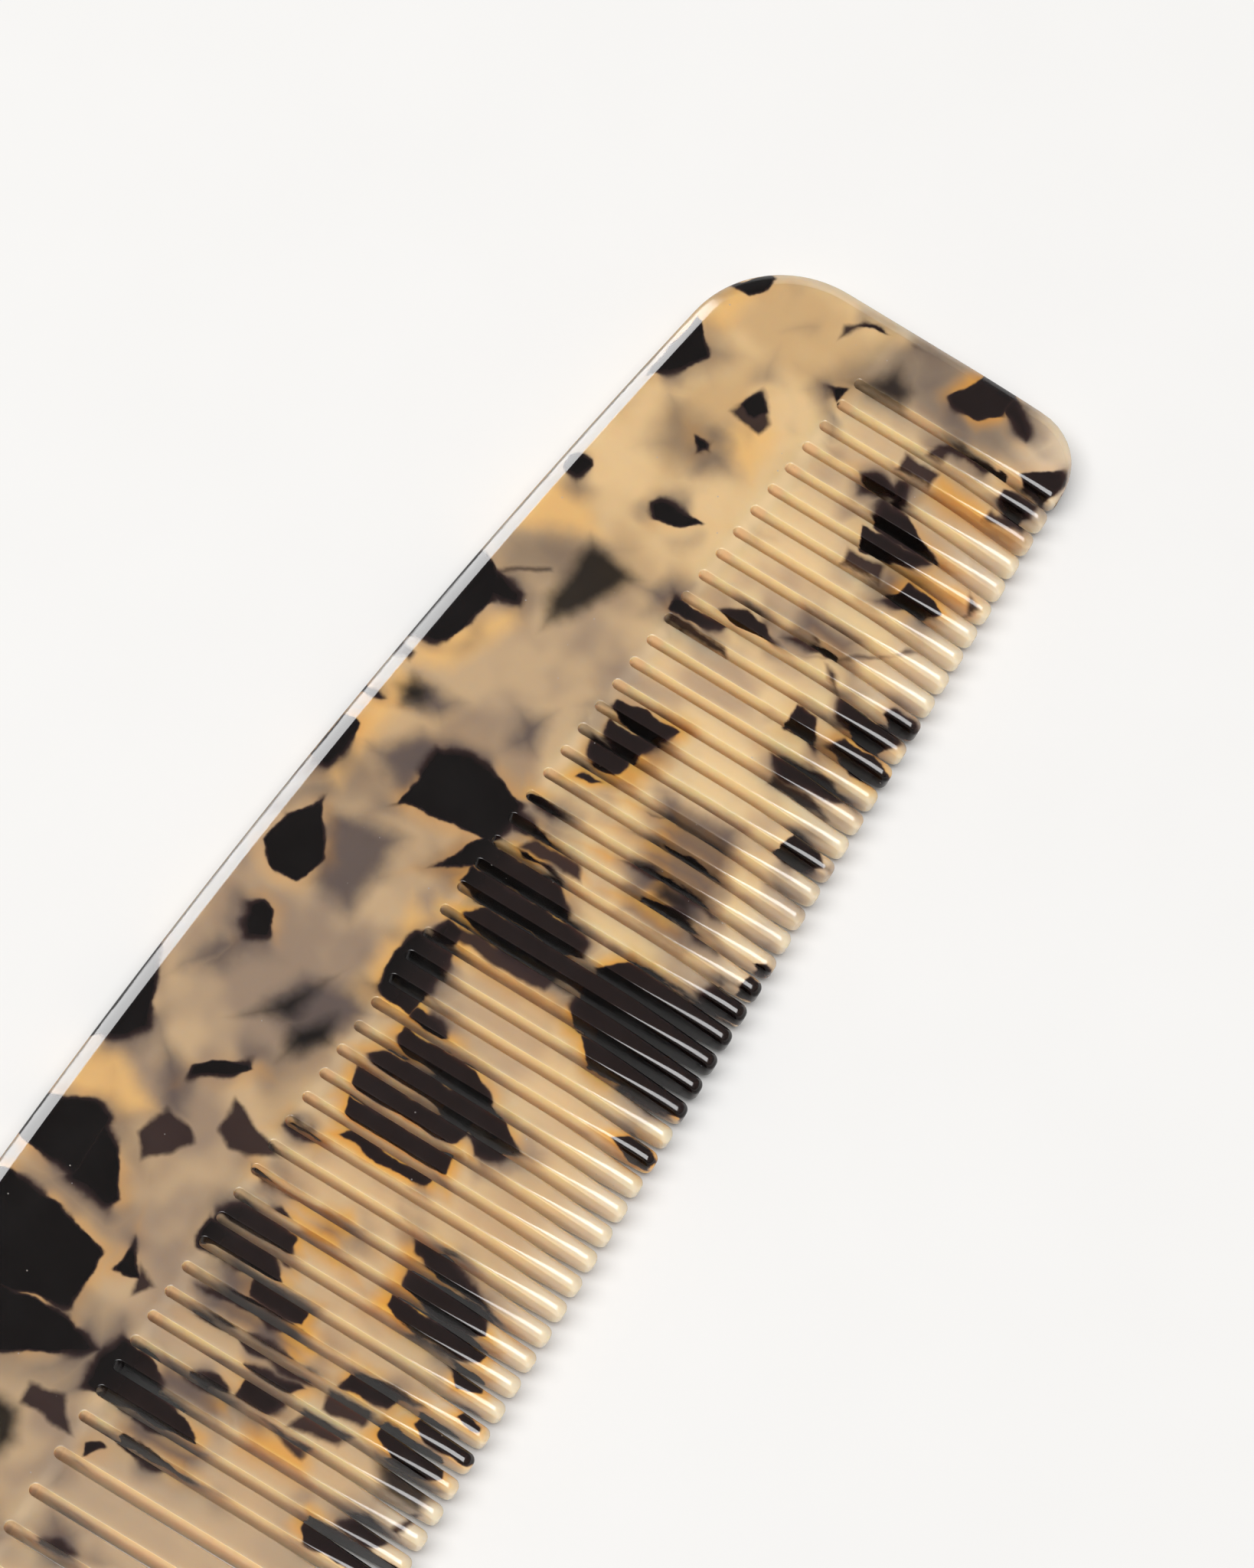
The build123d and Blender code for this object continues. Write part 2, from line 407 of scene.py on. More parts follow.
# --- tortoiseshell pattern ------------------------------------------------------------------------------
# Chips set in the honey sheet, by tone: each is an outline of up to six corners, in mm on the upper face.
DARK_CHIPS = [
    [(54.4, 14.7), (63.0, 13.7), (61.7, 10.9), (59.9, 10.3), (57.0, 10.9), (55.2, 11.9)],
    [(60.0, 10.8), (61.9, 11.2), (61.1, 8.9), (60.4, 8.8)],
    [(70.4, 11.5), (71.9, 11.4), (72.2, 9.8), (71.9, 9.5), (70.5, 10.1)],
    [(70.9, 4.2), (71.8, 4.8), (72.5, 4.4), (72.5, 3.0), (73.0, 0.3), (71.3, 2.3)],
    [(76.7, 3.9), (77.7, 4.7), (77.7, 3.6), (77.2, 3.4)],
    [(81.2, 3.3), (83.1, 2.5), (81.8, 1.3), (81.0, 2.0)],
    [(79.6, 9.9), (86.0, 9.2), (85.4, 8.7), (84.1, 7.1), (83.5, 6.7), (82.4, 7.3)],
    [(88.4, 8.6), (91.6, 6.6), (90.9, 5.6), (89.8, 5.8), (88.6, 6.9)],
    [(91.0, -0.9), (91.3, -1.1), (91.7, -2.0), (91.6, -2.9)],
    [(85.2, -2.4), (85.9, -1.6), (86.6, -2.6), (85.9, -2.6)],
    [(89.4, -9.2), (90.0, -8.5), (92.9, -10.0), (92.7, -12.4), (90.8, -12.3), (89.5, -11.2)],
    [(90.9, -12.2), (92.7, -12.3), (91.4, -13.7), (90.6, -14.6), (90.0, -14.6), (90.6, -13.6)],
    [(87.1, -16.3), (87.9, -15.5), (88.6, -16.2), (89.6, -18.0), (88.9, -18.6), (86.9, -18.0)],
    [(80.7, -7.0), (81.5, -6.1), (82.1, -7.6), (81.9, -9.2), (81.3, -9.2)],
    [(80.7, -9.4), (82.6, -8.8), (82.5, -9.3), (80.9, -9.8)],
    [(76.8, -8.9), (78.4, -8.1), (78.6, -9.0), (78.5, -13.3), (77.6, -12.4), (76.9, -10.0)],
    [(78.7, -8.8), (80.5, -8.7), (80.4, -10.5), (79.2, -14.0), (78.7, -13.0)],
    [(74.6, -12.2), (76.6, -12.9), (76.3, -15.2), (75.8, -15.9), (74.8, -15.0)],
    [(86.6, -10.5), (86.9, -10.8), (87.3, -14.9), (86.7, -15.0)],
    [(84.4, -16.6), (85.3, -15.4), (86.2, -15.3), (86.2, -17.4), (84.4, -17.3)],
    [(68.7, -8.7), (69.3, -9.4), (69.4, -11.4), (68.8, -11.6)],
    [(66.7, -3.9), (67.8, -3.0), (68.7, -4.5), (68.5, -6.0), (67.4, -7.3), (67.1, -5.8)],
    [(65.7, 0.1), (66.9, 0.0), (66.9, -4.2), (66.4, -3.3), (65.7, -1.5)],
    [(62.8, -10.9), (64.7, -10.8), (64.6, -12.3), (63.4, -12.9), (62.8, -13.1)],
    [(62.4, -16.5), (63.4, -14.3), (64.4, -14.8), (64.3, -17.5), (63.8, -18.9), (62.6, -18.9)],
    [(65.5, -13.9), (66.7, -13.3), (66.5, -17.3), (66.2, -18.1), (64.4, -16.9), (64.5, -15.8)],
    [(66.5, -17.4), (67.3, -16.1), (68.1, -16.7), (68.1, -17.9), (67.5, -18.9), (66.6, -18.9)],
    [(35.4, 13.2), (36.9, 14.8), (39.2, 14.2), (41.3, 12.8), (37.9, 10.5), (35.4, 11.2)],
    [(42.8, 15.9), (47.9, 15.2), (47.4, 13.4), (45.0, 13.3), (43.6, 13.9)],
    [(48.3, 15.2), (50.3, 14.9), (49.7, 13.2)],
    [(44.0, 8.3), (48.6, 8.0), (49.3, 6.0), (49.2, 3.0), (48.2, 1.4), (45.0, 1.6)],
    [(41.4, 4.2), (45.3, 2.4), (44.9, 1.0), (42.6, 1.9)],
    [(40.9, 0.5), (41.6, 2.2), (42.8, 2.0), (42.8, -5.5), (42.2, -7.0), (40.9, -7.3)],
    [(42.8, 1.6), (43.6, 2.4), (44.9, 1.9), (44.9, -4.5), (43.6, -5.0), (42.9, -5.8)],
    [(45.0, -0.8), (45.5, 0.0), (45.6, -2.0), (45.3, -2.8)],
    [(46.9, 1.3), (47.6, 1.5), (47.5, -0.8), (46.9, -1.9)],
    [(48.9, 1.4), (49.3, 1.3), (49.1, -0.9), (48.9, -0.7)],
    [(38.9, -1.5), (39.7, 0.9), (40.9, -0.3), (40.9, -10.0), (39.0, -10.0)],
    [(37.2, 1.6), (37.8, 1.7), (38.8, 1.3), (38.8, 0.1), (37.6, 0.2)],
    [(31.7, 2.0), (32.4, 3.1), (35.0, 3.4), (36.9, 2.7), (36.9, 0.0), (31.6, 0.1)],
    [(31.4, 0.2), (32.6, 0.1), (32.4, -1.6), (31.7, -2.8), (31.3, -2.0)],
    [(36.9, -9.4), (38.0, -8.6), (40.9, -8.4), (42.9, -10.3), (42.7, -19.0), (36.5, -19.0)],
    [(35.0, -11.6), (36.9, -10.0), (37.2, -19.0), (35.4, -19.0), (35.0, -17.0)],
    [(42.7, -16.0), (43.3, -15.6), (44.6, -16.3), (44.4, -19.0), (42.9, -19.0)],
    [(44.7, -17.4), (46.5, -17.6), (46.2, -19.0), (45.0, -19.0)],
    [(46.8, -18.2), (47.3, -17.4), (47.8, -18.0), (47.6, -18.6), (47.0, -18.6)],
    [(46.9, -8.6), (47.2, -9.0), (47.7, -11.0), (47.2, -13.0), (46.9, -13.6)],
    [(48.9, -7.4), (49.3, -8.4), (49.5, -10.5), (49.2, -12.6), (48.9, -13.1)],
    [(50.9, -6.8), (51.4, -7.6), (51.5, -10.5), (51.1, -12.6), (50.9, -12.9)],
    [(52.8, -7.4), (53.2, -8.5), (53.1, -10.0), (52.8, -12.0)],
    [(52.1, -0.6), (52.7, -0.9), (52.8, -2.4), (52.2, -1.7)],
    [(53.3, -1.6), (53.8, -0.6), (54.9, -0.5), (54.8, -3.4), (53.6, -3.1)],
    [(54.9, -2.6), (55.8, -0.9), (56.9, -0.5), (56.8, -4.1), (54.9, -3.4)],
    [(56.9, -2.6), (57.6, -0.2), (58.4, -0.3), (58.7, -2.6), (58.7, -5.1), (56.9, -4.2)],
    [(54.7, -14.7), (56.6, -15.2), (56.5, -17.2), (55.6, -18.0), (54.6, -16.8)],
    [(59.7, -12.6), (60.6, -11.4), (61.1, -13.0), (61.1, -15.5), (60.4, -16.9)],
    [(10.7, 18.4), (14.2, 18.2), (15.5, 14.4), (15.2, 13.2), (10.6, 13.2)],
    [(10.3, 13.4), (14.8, 13.4), (12.8, 11.0), (10.5, 9.9), (10.0, 10.4)],
    [(2.0, 19.2), (8.9, 18.8), (8.3, 13.2), (7.2, 8.8), (2.9, 8.8), (1.6, 13.5)],
    [(-2.2, 12.0), (1.8, 13.6), (2.4, 8.9), (1.3, 6.0), (-0.7, 8.7)],
    [(-5.2, 3.1), (-4.2, 3.4), (-3.7, 2.4), (-3.8, 1.8)],
    [(6.4, 7.8), (8.9, 7.5), (7.5, 6.4), (6.9, 5.9)],
    [(-1.0, 5.2), (1.2, 5.4), (2.9, 4.8), (2.6, 2.2), (1.7, 1.2), (-0.9, 1.2)],
    [(-1.1, 1.6), (0.9, 1.6), (0.8, -0.6), (0.0, -2.6), (-0.5, -2.6), (-1.1, 0.0)],
    [(-3.4, 1.5), (-2.3, 1.6), (-2.5, -1.5), (-2.8, -3.1), (-3.2, -1.5)],
    [(-11.4, 2.3), (-10.6, 1.4), (-10.8, 0.5), (-11.3, 1.1)],
    [(-2.4, -12.2), (-1.7, -11.4), (-0.7, -11.5), (-0.7, -19.0), (-2.2, -19.0)],
    [(-0.3, -15.6), (0.1, -13.4), (0.5, -14.0), (1.1, -14.6), (0.3, -16.5)],
    [(10.9, 3.9), (11.6, 4.4), (12.9, 4.2), (12.8, -1.2), (11.6, -2.0), (10.9, -2.6)],
    [(12.9, 4.0), (13.6, 3.9), (14.6, 3.0), (14.9, 2.0), (14.8, -1.2), (13.0, -1.7)],
    [(9.7, -0.6), (10.9, -0.4), (10.9, -4.4), (9.8, -4.6)],
    [(8.9, 1.2), (9.3, 0.5), (9.8, -1.0), (9.7, -4.5), (9.2, -6.8), (8.9, -6.0)],
    [(6.9, 1.2), (7.3, 0.5), (7.7, -3.5), (7.6, -5.5), (7.2, -7.6), (6.9, -7.0)],
    [(4.9, 1.2), (5.3, 0.3), (5.7, -2.6), (6.9, -3.2), (6.9, -6.9), (5.1, -6.0)],
    [(2.9, 0.8), (3.3, -0.1), (4.9, -1.0), (4.9, -2.6), (3.7, -2.7), (3.0, -4.2)],
    [(3.4, -5.4), (3.8, -3.4), (5.0, -3.3), (5.0, -6.2), (4.0, -6.0)],
    [(7.7, -8.9), (9.1, -8.9), (9.2, -12.8), (8.2, -12.2)],
    [(5.2, -14.4), (6.2, -12.4), (7.3, -12.6), (6.9, -17.0), (6.0, -17.6), (5.1, -16.2)],
    [(7.4, -16.2), (8.2, -14.0), (9.0, -14.3), (8.7, -17.6), (8.1, -19.0), (7.3, -18.5)],
    [(9.7, -17.4), (10.1, -16.2), (10.6, -16.6), (10.4, -18.0), (9.9, -18.1)],
    [(11.6, -15.3), (12.9, -14.4), (13.0, -16.6), (12.1, -16.8)],
    [(13.4, -10.0), (13.9, -8.7), (14.9, -8.5), (14.8, -15.9), (13.9, -15.8), (13.4, -13.0)],
    [(15.3, -10.0), (15.8, -8.8), (16.9, -8.7), (16.9, -14.3), (15.5, -15.3), (15.1, -13.5)],
    [(17.2, -11.0), (18.0, -8.5), (18.8, -8.2), (19.0, -10.5), (18.3, -12.0), (17.2, -14.8)],
    [(15.0, -2.2), (15.4, -1.4), (15.4, -3.6), (15.0, -4.1)],
    [(16.9, -3.2), (17.1, -2.6), (17.4, -3.4), (17.0, -4.1)],
    [(15.4, 0.9), (15.8, 0.6), (15.5, -0.1)],
    [(16.9, 3.4), (17.4, 3.7), (17.3, 2.0), (17.0, 0.7)],
    [(20.3, 10.3), (21.0, 10.5), (22.4, 9.1), (23.3, 7.2), (23.0, 6.8), (21.4, 8.3)],
    [(18.4, 18.4), (27.4, 17.4), (26.3, 15.7), (23.6, 15.0), (22.2, 14.2), (20.6, 15.0)],
    [(30.6, 12.2), (31.2, 12.8), (32.4, 13.1), (33.2, 12.4), (32.9, 11.4), (31.3, 10.9)],
    [(21.7, 0.3), (22.9, -0.5), (22.9, -6.9), (21.6, -6.4), (21.9, -3.0)],
    [(22.9, 0.1), (24.9, 0.9), (24.9, -7.2), (23.0, -7.5)],
    [(24.9, 1.1), (26.9, 1.3), (26.9, -7.0), (25.8, -7.0), (25.0, -5.5)],
    [(27.0, -0.5), (28.0, 1.1), (28.9, 0.2), (28.8, -8.8), (27.6, -10.4), (26.9, -9.5)],
    [(25.9, -8.5), (27.0, -7.6), (27.0, -9.9), (26.4, -9.6)],
    [(29.1, -0.8), (30.0, 0.2), (30.8, 0.1), (30.8, -6.6), (29.6, -7.3), (28.9, -8.2)],
    [(20.9, 3.3), (21.3, 3.2), (21.2, 0.8), (20.9, 1.0)],
    [(30.9, -17.4), (31.7, -15.4), (32.6, -16.5), (32.4, -17.8), (31.8, -18.9), (31.0, -18.6)],
]
SHADE_CHIPS = [
    [(60.9, 6.4), (62.1, 7.0), (66.8, 6.6), (66.3, 3.4), (62.6, 4.9)],
    [(50.5, 11.7), (51.1, 12.3), (51.8, 11.9), (51.6, 11.1), (50.9, 11.0)],
    [(87.6, -3.6), (89.3, -4.8), (88.6, -5.8), (87.7, -5.9)],
    [(26.6, 8.8), (28.3, 7.4), (29.6, 6.6), (27.5, 7.0)],
    [(25.4, 5.6), (26.6, 6.0), (28.2, 4.4), (27.2, 3.8)],
    [(-7.6, 7.8), (-5.0, 10.2), (-4.8, 8.4), (-6.5, 7.3)],
    [(47.7, -9.6), (48.9, -9.6), (48.9, -11.8), (47.7, -12.0)],
    [(3.3, -14.8), (4.8, -13.6), (5.2, -15.5), (4.9, -17.6), (3.4, -17.2)],
]
BROWN_CHIPS = [
    [(61.9, 11.2), (63.9, 8.1), (63.8, 8.05), (61.8, 11.15)],
    [(80.6, 3.5), (83.1, 2.5), (81.3, 0.9), (80.2, 1.1)],
    [(89.6, -0.1), (90.4, 0.1), (91.2, -1.0), (90.6, -0.8)],
    [(75.3, -8.4), (76.5, -8.3), (76.5, -10.9), (75.4, -11.2)],
    [(83.4, -8.2), (84.6, -8.2), (84.5, -10.7), (83.4, -10.7)],
    [(85.4, -9.4), (86.6, -10.0), (86.6, -10.7), (85.4, -10.5)],
    [(83.5, -15.1), (84.3, -15.2), (84.3, -17.4), (83.6, -16.6)],
    [(76.9, -17.4), (78.0, -17.1), (77.6, -18.1)],
    [(65.0, -0.2), (65.7, -0.2), (65.6, -4.5), (65.1, -5.0)],
    [(67.4, -12.6), (67.7, -11.6), (68.2, -11.3), (68.0, -12.0)],
    [(69.5, -12.1), (70.6, -13.7), (70.1, -13.2)],
    [(71.8, -15.0), (72.3, -15.4), (72.4, -15.9), (71.9, -15.3)],
    [(52.8, 14.2), (53.9, 14.1), (53.5, 12.8), (52.9, 12.8)],
    [(45.6, 0.0), (46.9, -0.6), (46.8, -4.0), (45.9, -4.6)],
    [(37.9, 0.5), (38.9, 0.5), (38.9, -6.7), (38.1, -6.5), (37.7, -4.0)],
    [(58.7, -12.0), (59.4, -12.2), (59.5, -15.0), (58.7, -16.5)],
    [(13.9, 10.1), (15.2, 11.2), (17.6, 10.4), (17.2, 8.4), (16.6, 7.8), (15.0, 8.8)],
    [(-4.0, 8.3), (-2.7, 8.3), (-2.1, 5.9), (-3.3, 5.0), (-4.1, 4.2), (-4.2, 5.6)],
    [(5.7, 5.8), (6.9, 6.2), (7.6, 6.3), (7.0, 4.9)],
    [(17.5, 5.8), (18.4, 6.9), (20.7, 6.9), (20.2, 5.8), (18.8, 2.4), (17.7, 4.8)],
    [(2.9, -5.8), (3.0, -9.2), (2.3, -9.0), (2.5, -7.5)],
    [(3.7, -7.2), (5.0, -7.6), (5.2, -11.2), (4.2, -10.6)],
    [(5.9, -8.6), (7.1, -8.4), (7.2, -11.6), (6.1, -11.3)],
    [(9.1, -10.5), (9.6, -11.5), (9.4, -14.0), (9.1, -13.6)],
    [(1.1, -16.6), (2.9, -17.1), (2.9, -17.4), (1.1, -17.0)],
]
GREY_CHIPS = [
    [(75.1, -11.0), (76.6, -11.2), (76.6, -13.2), (74.8, -12.6)],
    [(69.5, -8.2), (70.8, -8.2), (70.8, -12.0), (69.5, -12.0)],
    [(65.5, 0.0), (66.2, 1.5), (67.0, 0.0)],
    [(35.7, 7.0), (36.3, 10.3), (40.8, 12.0), (41.6, 9.7), (41.7, 6.9), (39.5, 7.1)],
    [(45.0, 7.2), (45.0, 8.4), (45.8, 9.9), (46.4, 11.1), (47.3, 9.8), (47.3, 8.6)],
    [(27.5, 13.3), (27.7, 12.5), (30.5, 11.9), (30.3, 12.7)],
    [(50.4, 11.4), (52.0, 11.4), (51.8, 9.0), (50.8, 9.2)],
    [(51.8, 3.9), (53.6, 4.4), (54.2, 3.2), (52.2, 2.8)],
    [(44.5, 8.2), (46.3, 11.2), (48.6, 9.6), (48.8, 7.8)],
    [(41.4, 4.0), (43.5, 3.2), (43.0, 1.6), (41.4, 2.0)],
    [(47.6, -8.0), (54.0, -6.8), (54.6, -12.0), (51.0, -12.8), (47.6, -13.0)],
    [(45.8, -8.4), (46.9, -8.4), (46.9, -13.0), (45.6, -12.6)],
    [(17.5, 10.4), (20.9, 12.3), (20.3, 10.8), (18.0, 9.6)],
    [(27.2, 14.0), (29.5, 13.5), (30.0, 12.4), (28.0, 12.8)],
    [(27.6, 8.2), (29.9, 7.3), (30.9, 4.2), (30.2, 2.7), (27.1, 4.2), (25.7, 5.4)],
    [(15.4, -1.8), (16.9, -2.4), (16.9, -4.0), (15.4, -3.4)],
    [(7.7, 1.2), (11.0, 1.2), (11.0, -4.5), (7.7, -5.2)],
    [(-2.3, 1.6), (-1.1, 1.6), (-1.1, -3.4), (-2.3, -3.0)],
    [(1.6, 1.6), (3.0, 1.6), (3.0, -3.4), (1.6, -3.0)],
    [(-10.8, 2.0), (-9.6, 2.2), (-9.8, 0.8), (-10.8, 0.6)],
]
MIST_CHIPS = [
    [(64.4, 12.0), (66.1, 8.9), (66.8, 6.0), (63.7, 7.5), (62.2, 10.9)],
    [(75.6, 6.8), (78.5, 6.8), (78.8, 3.5), (76.8, 1.8), (75.4, 3.5)],
    [(81.0, 8.6), (85.0, 8.0), (84.0, 5.8), (82.2, 6.4)],
    [(86.0, -1.2), (88.0, -1.6), (91.2, -3.8), (91.0, -6.4), (87.6, -7.0), (86.4, -3.0)],
    [(88.0, -5.5), (92.9, -5.0), (92.9, -9.0), (88.4, -15.0), (87.4, -10.0)],
]
AMBER_CHIPS = [
    [(15.2, 17.8), (18.6, 17.8), (19.4, 15.0), (17.0, 11.2), (15.8, 12.6)],
    [(64.2, 13.0), (69.6, 12.6), (69.4, 9.0), (67.8, 6.5), (66.0, 10.0)],
    [(53.0, 12.6), (55.0, 12.8), (60.5, 8.6), (59.5, 8.0), (54.0, 10.4)],
    [(76.6, -9.0), (77.4, -12.4), (78.6, -13.6), (78.0, -18.0), (76.9, -17.6), (76.5, -13.0)],
    [(62.4, -12.6), (63.6, -13.2), (66.4, -12.6), (65.4, -15.6), (64.2, -16.8), (62.4, -15.2)],
    [(86.4, -15.0), (87.3, -15.4), (87.2, -17.0), (86.4, -17.0)],
    [(53.0, -2.6), (59.4, -3.4), (59.4, -5.6), (55.0, -5.2), (53.0, -4.2)],
    [(36.8, 2.6), (37.7, 1.4), (37.6, -9.0), (36.8, -9.0)],
    [(38.7, 2.4), (39.7, 2.4), (39.2, -3.0), (38.8, -3.0)],
    [(0.6, -5.6), (2.6, -5.0), (2.8, -9.4), (1.0, -10.0)],
    [(12.9, -7.8), (18.9, -7.6), (17.4, -10.6), (13.2, -11.0)],
    [(30.8, 4.0), (38.5, 4.0), (38.0, 2.6), (31.0, 2.4)],
    [(42.6, 14.4), (48.0, 13.8), (52.0, 13.8), (52.0, 11.8), (43.0, 12.4)],
    [(78.0, 2.6), (81.4, 2.8), (81.0, 0.0), (77.0, 0.0)],
    [(85.0, 8.6), (89.6, 8.4), (88.4, 6.6), (85.4, 7.0)],
    [(82.4, -10.8), (84.8, -10.8), (84.0, -18.0), (82.4, -18.0)],
]
CHIPS = {
    "dark": DARK_CHIPS,
    "shade": SHADE_CHIPS,
    "brown": BROWN_CHIPS,
    "grey": GREY_CHIPS,
    "mist": MIST_CHIPS,
    "amber": AMBER_CHIPS,
}

# Beyond this x towards the coarse end the chips are strewn at random, as many and as large as the others.
STREWN_FROM_X = -12.0
STREWN_SEED = 11
STREWN_MARGIN = 1.5
STREWN_SIZES = (0.8, 1.3, 1.8, 2.6)
STREWN_CORNERS = (4, 5, 6)
STREWN_COUNTS = {"dark": 62, "shade": 7, "brown": 16, "grey": 20, "mist": 8, "amber": 14}

CHIP_LEAN = 0.33  # how far the chips lean along the comb for each mm of depth
CHIP_CORNER_ROUND = 0.25
# How far from its outline a chip of each tone can still be seen, in mm.
REACH = {"dark": 2.4, "shade": 1.6, "brown": 1.4, "grey": 1.8, "mist": 2.0, "amber": 1.8}

# The solid back is deeper in colour than the teeth, and the tips are painted palest, a painted glow for light
# passing through the thin tips. Pairs are cloudy and clear.
BACK_TONES = ((0.285, 0.205, 0.145), (0.47, 0.335, 0.20))
TOOTH_TONES = ((0.39, 0.29, 0.19), (0.63, 0.455, 0.26))
FINE_END_TONES = ((0.52, 0.35, 0.175), (0.64, 0.455, 0.245))
# A painted glow for the tips, standing in for light passing through the thin acetate there.
PAINTED_TIP_GLOW = (0.63, 0.51, 0.38)
# A painted glow for the slot walls: paler and warmer than the faces, standing in for light passing through
# the acetate into the slots.
PAINTED_WALL_GLOW = (0.93, 0.68, 0.39)
# A painted light for the faces near the fine end that turn away from the lamps.
PAINTED_END_LIGHT = (0.80, 0.64, 0.45)
HONEY = (0.68, 0.42, 0.16)
AMBER = (0.58, 0.28, 0.05)
SMOKE = (0.105, 0.078, 0.070)
UMBER = (0.030, 0.015, 0.014)
DARK = (0.0035, 0.002, 0.0018)
# A painted sheen for the dark chips on the teeth's upper faces.
PAINTED_DARK_SHEEN = (0.0115, 0.0062, 0.0056)
# A painted reflection for the bevel along the back.
PAINTED_BEVEL_REFLECTION = (0.25, 0.245, 0.235)
DUST = (0.35, 0.34, 0.33)

# How strongly each tone covers what lies under it.
VEIL_SHARE, PAINTED_WALL_GLOW_SHARE, PAINTED_TIP_GLOW_SHARE, SMOKE_SHARE, PAINTED_END_LIGHT_SHARE = 0.15, 0.9, 0.9, 0.35, 0.7
AMBER_SHARE, MIST_SHARE, GREY_SHARE, BROWN_SHARE, SHADE_SHARE = 0.8, 0.6, 0.96, 0.98, 0.95
PAINTED_BEVEL_REFLECTION_SHARE, RIM_SHARE, HAZE_SHARE, DUST_SHARE = 0.88, 0.95, 0.85, 0.7

# Stretches over which a tone comes in, from none to all, along the comb or up from the tips.
FINE_END_SPAN = (60.0, 72.0)
CLEAR_TEETH_SPAN = (0.0, 60.0)
DULL_TEETH_SPAN = (72.0, 84.0)
SMOKE_SPAN = (64.0, 46.0)
PAINTED_END_LIGHT_SPAN = (END_X - 9.0, END_X - 2.0)
PAINTED_BEVEL_REFLECTION_SPAN = (END_X - 6.0, END_X - 13.0)
BETWEEN_GUARDS = (END_X - 2.0, END_X - 4.0)
PAINTED_TIP_GLOW_SPAN = (TIP_Y + 6.0, TIP_Y + 0.5)
CLEAR_OF_TIPS = (TIP_Y + 8.0, TIP_Y + 12.0)

# Noises, as features per mm and detail. WANDERS bend the chips' outlines, each by so many mm.
CLOUD_NOISE = (0.16, 2.0)
VEIL_NOISE = (0.07, 0.0)
BLUR_NOISE = (0.24, 1.0)
SMOKE_NOISE = (0.14, 1.0)
THIN_NOISE = (0.13, 1.0)
SMEAR_NOISE = (0.25, 4.0)
RIPPLE_NOISE = (1.3, 3.0)
WANDERS = ((0.5, 0.8), (1.9, 0.2))
WANDER_DETAIL = 1.0

THIN_DEPTH = 1.4  # chips that thin with depth stop thinning here
THIN_RATE = -0.9
SPECKS_PER_MM = 0.8
SPECK_EDGE = (0.06, 0.03)
ROUGHNESS_RANGE = (0.10, 0.2)
SPECULAR_RANGE = (0.5, 0.1)  # on the faces and on the slot walls
ACETATE_IOR = 1.49
SPREAD_DEPTHS = (3.6, 2.6, 1.6)  # how far red, green and blue light spread inside, in mm
SPREAD_WEIGHT = 0.9
RIPPLE_STRENGTH = 0.02


def strewn_chips():
    """Random convex chips for the half towards the coarse end, from one seed."""
    dice = random.Random(STREWN_SEED)
    strewn = {}
    for tone, count in STREWN_COUNTS.items():
        strewn[tone] = []
        for _ in range(count):
            centre_x = dice.uniform(-END_X, STREWN_FROM_X - STREWN_MARGIN)
            centre_y = dice.uniform(TIP_Y, BACK_TOP_Y)
            size = dice.choice(STREWN_SIZES) * dice.uniform(0.8, 1.2)
            stretch, turn = dice.uniform(1.0, 2.2), dice.uniform(0, math.pi)
            corners = dice.choice(STREWN_CORNERS)
            angles = sorted(dice.uniform(-0.25, 0.25) + 2 * math.pi * i / corners for i in range(corners))
            chip = []
            for angle in angles:
                along, across = size * stretch * math.cos(angle), size * math.sin(angle)
                x = centre_x + along * math.cos(turn) - across * math.sin(turn)
                y = centre_y + along * math.sin(turn) + across * math.cos(turn)
                chip.append((x, y))
            strewn[tone].append(chip)
    return strewn


STREWN = strewn_chips()


def chips_near(tone, left, right, low, high):
    """The chips of one tone whose outline comes near a stretch of the comb."""
    reach = REACH[tone]
    lean = CHIP_LEAN * THICKNESS
    near = []
    for chip in CHIPS[tone] + STREWN[tone]:
        xs, ys = zip(*chip)
        beside = max(xs) + lean + reach < left or min(xs) - reach > right
        if not beside and max(ys) + reach > low and min(ys) - reach < high:
            near.append(chip)
    return near


